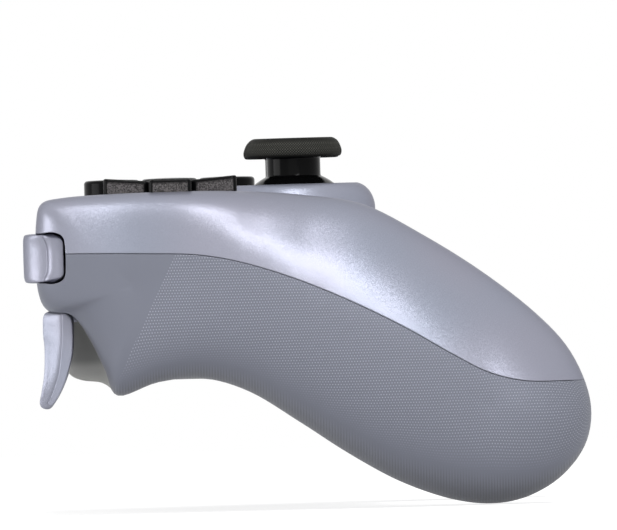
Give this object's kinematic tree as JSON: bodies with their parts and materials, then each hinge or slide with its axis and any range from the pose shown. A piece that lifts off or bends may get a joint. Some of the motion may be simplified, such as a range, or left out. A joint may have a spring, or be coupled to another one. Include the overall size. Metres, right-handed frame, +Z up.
{
  "type": "gamepad controller",
  "caption": "Handheld game controller with two-shell housing and grips, tilting thumbsticks, direction keys, round buttons, click touchpad, bumpers and sprung triggers.",
  "frame": {"origin": "under the middle of the bounding box, level with the lowest point of the grips", "axes": "+X to the player's right, +Y away from the player, +Z up out of the face with the buttons"},
  "size_m": [0.1598, 0.106, 0.0701],
  "materials": {
    "pearl_paint": "pearl paint with a fine sparkle",
    "grip_plastic": "moulded, fine dotted grain on the grips",
    "jet_plastic": "polished black",
    "key_plastic": "textured dark grey sides under a black gloss top",
    "stick_rubber": "matt, moulded rim",
    "clear_silicone": "soft, cloudy",
    "black_carrier": "moulded",
    "circuit_laminate": "satin solder mask",
    "battery_wrap": "satin film",
    "white_resin": "moulded",
    "steel": "bright",
    "well_resin": "moulded",
    "dense_metal": "sintered"
  },
  "bodies": {
    "housing": {"upper_shell": "pearl_paint", "lower_shell": "grip_plastic", "key_dome_up": "clear_silicone", "key_dome_down": "clear_silicone", "key_dome_left": "clear_silicone", "key_dome_right": "clear_silicone", "button_dome_top": "clear_silicone", "button_dome_bottom": "clear_silicone", "button_dome_inner": "clear_silicone", "button_dome_outer": "clear_silicone", "key_membrane": "clear_silicone", "button_membrane": "clear_silicone", "button_plate": "black_carrier", "main_board": "circuit_laminate", "battery_tray": "black_carrier", "battery_pack": "battery_wrap", "stick_housing_left": "steel", "stick_housing_right": "steel", "trigger_bracket_left": "well_resin", "trigger_bracket_right": "well_resin", "trigger_pin_left": "steel", "trigger_pin_right": "steel", "trigger_spring_left": "steel", "trigger_spring_right": "steel", "rumble_motor_left": "steel", "rumble_motor_right": "steel", "charge_port": "steel", "headset_socket": "black_carrier", "shell_screws": "steel"},
    "touchpad": {"touchpad": "pearl_paint"},
    "home_button": {"home_button": "jet_plastic"},
    "option_button_left": {"option_button_left": "jet_plastic"},
    "option_button_right": {"option_button_right": "jet_plastic"},
    "direction_key_up": {"direction_key_up": "key_plastic"},
    "direction_key_down": {"direction_key_down": "key_plastic"},
    "direction_key_left": {"direction_key_left": "key_plastic"},
    "direction_key_right": {"direction_key_right": "key_plastic"},
    "round_button_top": {"round_button_top": "jet_plastic"},
    "round_button_bottom": {"round_button_bottom": "jet_plastic"},
    "round_button_inner": {"round_button_inner": "jet_plastic"},
    "round_button_outer": {"round_button_outer": "jet_plastic"},
    "stick_yoke_left": {"stick_yoke_left": "white_resin"},
    "stick_pivot_left": {"stick_pivot_left": "black_carrier"},
    "thumbstick_left": {"stick_lever_left": "steel", "stick_post_left": "jet_plastic", "stick_cap_left": "stick_rubber"},
    "stick_yoke_right": {"stick_yoke_right": "white_resin"},
    "stick_pivot_right": {"stick_pivot_right": "black_carrier"},
    "thumbstick_right": {"stick_lever_right": "steel", "stick_post_right": "jet_plastic", "stick_cap_right": "stick_rubber"},
    "bumper_left": {"bumper_left": "pearl_paint"},
    "trigger_left": {"trigger_left": "pearl_paint"},
    "rumble_weight_left": {"rumble_weight_left": "dense_metal"},
    "bumper_right": {"bumper_right": "pearl_paint"},
    "trigger_right": {"trigger_right": "pearl_paint"},
    "rumble_weight_right": {"rumble_weight_right": "dense_metal"}
  },
  "joints": [
    {"name": "touchpad_click", "type": "hinge", "parent": "housing", "child": "touchpad", "pos_m": [0, 0.0448, 0.058], "axis": [1, 0, 0], "range_deg": [0, 1], "stiffness_Nm_per_rad": 1.2, "springref_deg": -1.15},
    {"name": "home_button_press", "type": "slide", "parent": "housing", "child": "home_button", "axis": [0, 0, -1], "range_m": [0, 0.0005], "stiffness_N_per_m": 900, "springref_m": -0.0005},
    {"name": "option_button_left_press", "type": "slide", "parent": "housing", "child": "option_button_left", "axis": [0, 0, -1], "range_m": [0, 0.0005], "stiffness_N_per_m": 900, "springref_m": -0.0005},
    {"name": "option_button_right_press", "type": "slide", "parent": "housing", "child": "option_button_right", "axis": [0, 0, -1], "range_m": [0, 0.0005], "stiffness_N_per_m": 900, "springref_m": -0.0005},
    {"name": "direction_key_up_press", "type": "slide", "parent": "housing", "child": "direction_key_up", "axis": [0, 0, -1], "range_m": [0, 0.0012], "stiffness_N_per_m": 600, "springref_m": -0.0008, "deforming": ["key_dome_up"]},
    {"name": "direction_key_down_press", "type": "slide", "parent": "housing", "child": "direction_key_down", "axis": [0, 0, -1], "range_m": [0, 0.0012], "stiffness_N_per_m": 600, "springref_m": -0.0008, "deforming": ["key_dome_down"]},
    {"name": "direction_key_left_press", "type": "slide", "parent": "housing", "child": "direction_key_left", "axis": [0, 0, -1], "range_m": [0, 0.0012], "stiffness_N_per_m": 600, "springref_m": -0.0008, "deforming": ["key_dome_left"]},
    {"name": "direction_key_right_press", "type": "slide", "parent": "housing", "child": "direction_key_right", "axis": [0, 0, -1], "range_m": [0, 0.0012], "stiffness_N_per_m": 600, "springref_m": -0.0008, "deforming": ["key_dome_right"]},
    {"name": "round_button_top_press", "type": "slide", "parent": "housing", "child": "round_button_top", "axis": [0, 0, -1], "range_m": [0, 0.0012], "stiffness_N_per_m": 600, "springref_m": -0.0008, "deforming": ["button_dome_top"]},
    {"name": "round_button_bottom_press", "type": "slide", "parent": "housing", "child": "round_button_bottom", "axis": [0, 0, -1], "range_m": [0, 0.0012], "stiffness_N_per_m": 600, "springref_m": -0.0008, "deforming": ["button_dome_bottom"]},
    {"name": "round_button_inner_press", "type": "slide", "parent": "housing", "child": "round_button_inner", "axis": [0, 0, -1], "range_m": [0, 0.0012], "stiffness_N_per_m": 600, "springref_m": -0.0008, "deforming": ["button_dome_inner"]},
    {"name": "round_button_outer_press", "type": "slide", "parent": "housing", "child": "round_button_outer", "axis": [0, 0, -1], "range_m": [0, 0.0012], "stiffness_N_per_m": 600, "springref_m": -0.0008, "deforming": ["button_dome_outer"]},
    {"name": "stick_tilt_forward_left", "type": "hinge", "parent": "housing", "child": "stick_yoke_left", "pos_m": [-0.027, 0.0016, 0.0518], "axis": [1, 0, 0], "range_deg": [-15, 15], "stiffness_Nm_per_rad": 0.06},
    {"name": "stick_tilt_sideways_left", "type": "hinge", "parent": "stick_yoke_left", "child": "stick_pivot_left", "pos_m": [-0.027, 0.0016, 0.0518], "axis": [0, 1, 0], "range_deg": [-15, 15], "stiffness_Nm_per_rad": 0.06},
    {"name": "stick_click_left", "type": "slide", "parent": "stick_pivot_left", "child": "thumbstick_left", "axis": [0, 0, -1], "range_m": [0, 0.0005], "stiffness_N_per_m": 4000, "springref_m": -0.0005},
    {"name": "stick_tilt_forward_right", "type": "hinge", "parent": "housing", "child": "stick_yoke_right", "pos_m": [0.027, 0.0016, 0.0518], "axis": [1, 0, 0], "range_deg": [-15, 15], "stiffness_Nm_per_rad": 0.06},
    {"name": "stick_tilt_sideways_right", "type": "hinge", "parent": "stick_yoke_right", "child": "stick_pivot_right", "pos_m": [0.027, 0.0016, 0.0518], "axis": [0, 1, 0], "range_deg": [-15, 15], "stiffness_Nm_per_rad": 0.06},
    {"name": "stick_click_right", "type": "slide", "parent": "stick_pivot_right", "child": "thumbstick_right", "axis": [0, 0, -1], "range_m": [0, 0.0005], "stiffness_N_per_m": 4000, "springref_m": -0.0005},
    {"name": "bumper_left_press", "type": "slide", "parent": "housing", "child": "bumper_left", "axis": [0, -1, 0], "range_m": [0, 0.001], "stiffness_N_per_m": 1500, "springref_m": -0.0007},
    {"name": "trigger_left_pull", "type": "hinge", "parent": "housing", "child": "trigger_left", "pos_m": [0, 0.0415, 0.0425], "axis": [1, 0, 0], "range_deg": [-16, 0], "stiffness_Nm_per_rad": 0.06, "springref_deg": 20.05},
    {"name": "rumble_weight_left_spin", "type": "hinge", "parent": "housing", "child": "rumble_weight_left", "pos_m": [0, -0.033, 0.02], "axis": [1, 0, 0], "continuous": true},
    {"name": "bumper_right_press", "type": "slide", "parent": "housing", "child": "bumper_right", "axis": [0, -1, 0], "range_m": [0, 0.001], "stiffness_N_per_m": 1500, "springref_m": -0.0007},
    {"name": "trigger_right_pull", "type": "hinge", "parent": "housing", "child": "trigger_right", "pos_m": [0, 0.0415, 0.0425], "axis": [1, 0, 0], "range_deg": [-16, 0], "stiffness_Nm_per_rad": 0.06, "springref_deg": 20.05},
    {"name": "rumble_weight_right_spin", "type": "hinge", "parent": "housing", "child": "rumble_weight_right", "pos_m": [0, -0.033, 0.02], "axis": [1, 0, 0], "continuous": true}
  ]
}
